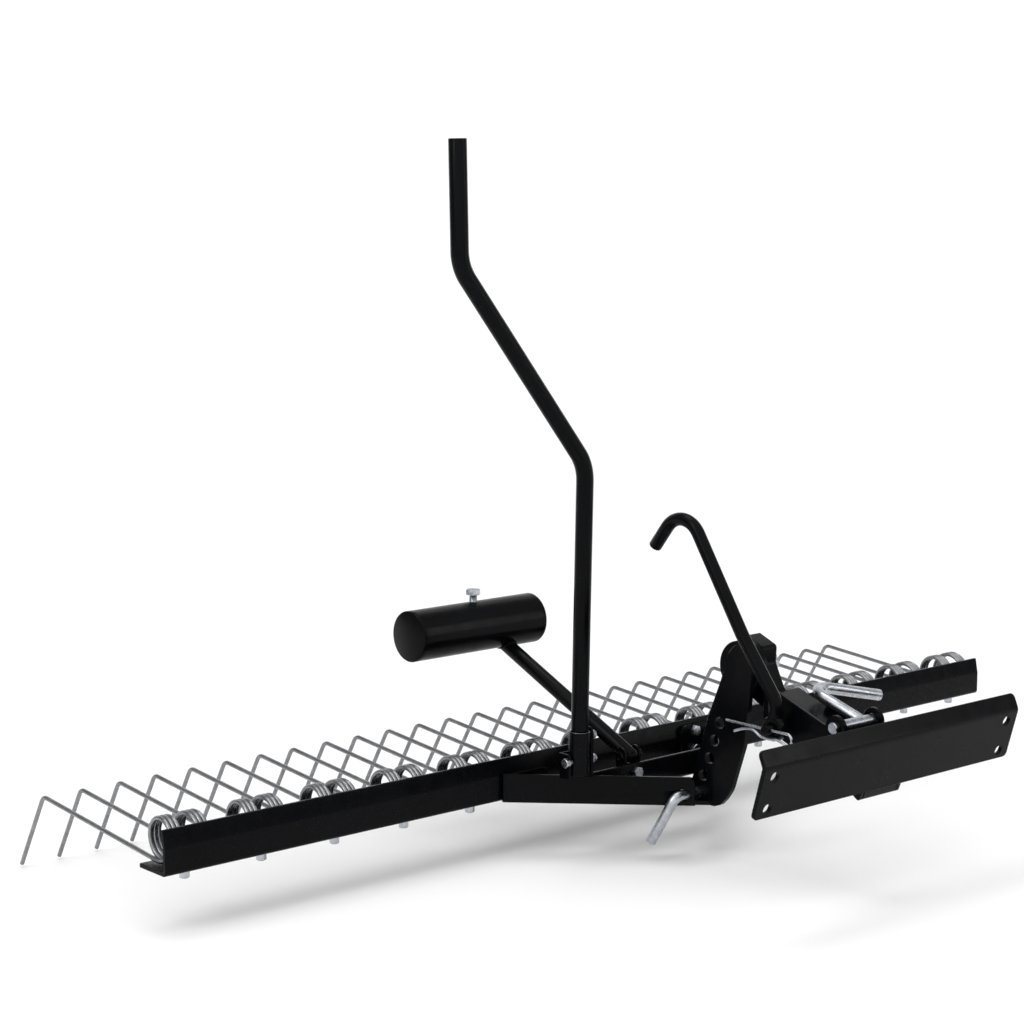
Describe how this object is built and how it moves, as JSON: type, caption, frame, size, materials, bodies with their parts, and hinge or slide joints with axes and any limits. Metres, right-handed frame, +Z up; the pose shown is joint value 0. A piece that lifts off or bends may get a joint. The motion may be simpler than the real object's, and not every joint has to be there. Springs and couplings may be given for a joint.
{
  "type": "lawn dethatcher",
  "caption": "Tow-behind lawn dethatcher: long angle bar of spring tines on a V frame that hinges on a mower hitch, with a bent lift lever, ballast cylinder and transport hook.",
  "frame": {"origin": "centre of the mounting plate's lower face, where it bears on the mower", "axes": "+X along the rake bar to the side without the lift lever, +Y from the mower towards the tines, +Z up"},
  "size_m": [1.08, 0.5936, 0.6593],
  "materials": {
    "black_paint": "gloss black powder coat",
    "zinc": "bright zinc plate",
    "spring_steel": "bright galvanised spring wire"
  },
  "bodies": {
    "hitch": {"mount_plate": "black_paint", "arm_cheek_near": "black_paint", "arm_cheek_far": "black_paint", "hitch_tongue": "black_paint", "hook_pin": "black_paint", "r_clip": "zinc"},
    "rake": {"rake_bar": "black_paint", "v_arm_near": "black_paint", "v_arm_far": "black_paint", "cross_member": "black_paint", "post_plate": "black_paint", "pivot_spacer": "black_paint", "pivot_stud": "zinc", "pivot_nut": "zinc", "lever_socket": "black_paint", "lever_bracket": "black_paint", "lever_bolt_upper": "zinc", "lever_bolt_lower": "zinc", "lift_lever": "black_paint", "weight_foot": "black_paint", "weight_arm": "black_paint", "weight_cylinder": "black_paint", "weight_bolt": "zinc", "weight_arm_bolt": "black_paint", "weight_foot_bolt": "zinc", "v_arm_bolt_near_lower": "zinc", "v_arm_bolt_far_lower": "zinc", "v_arm_bolt_far_upper": "zinc", "tine_01": "spring_steel", "tine_02": "spring_steel", "tine_03": "spring_steel", "tine_04": "spring_steel", "tine_05": "spring_steel", "tine_06": "spring_steel", "tine_07": "spring_steel", "tine_08": "spring_steel", "tine_09": "spring_steel", "tine_10": "spring_steel", "tine_11": "spring_steel", "tine_12": "spring_steel", "tine_13": "spring_steel", "tine_14": "spring_steel", "tine_bolt_01": "zinc", "tine_bolt_02": "zinc", "tine_bolt_03": "zinc", "tine_bolt_04": "zinc", "tine_bolt_05": "zinc", "tine_bolt_06": "zinc", "tine_bolt_07": "zinc", "tine_bolt_08": "zinc", "tine_bolt_09": "zinc", "tine_bolt_10": "zinc", "tine_bolt_11": "zinc", "tine_bolt_12": "zinc", "tine_bolt_13": "zinc", "tine_bolt_14": "zinc"},
    "transport_hook_body": {"transport_hook": "black_paint"},
    "release_lever_body": {"release_lever": "zinc"},
    "height_pin_body": {"height_pin": "zinc"}
  },
  "joints": [
    {"name": "rake_lift", "type": "hinge", "parent": "hitch", "child": "rake", "pos_m": [0, 0.1584, 0.06329], "axis": [1, 0, 0], "range_deg": [0, 40]},
    {"name": "hook_swing", "type": "hinge", "parent": "hitch", "child": "transport_hook_body", "pos_m": [-0.042, 0.1004, 0.01929], "axis": [1, 0, 0], "range_deg": [-20, 35]},
    {"name": "release_lever_turn", "type": "hinge", "parent": "hitch", "child": "release_lever_body", "pos_m": [0, 0.0434, 0.02729], "axis": [1, 0, 0], "range_deg": [0, 100]},
    {"name": "height_pin_pull", "type": "slide", "parent": "rake", "child": "height_pin_body", "axis": [-1, 0, 0], "range_m": [0, 0.045]}
  ]
}
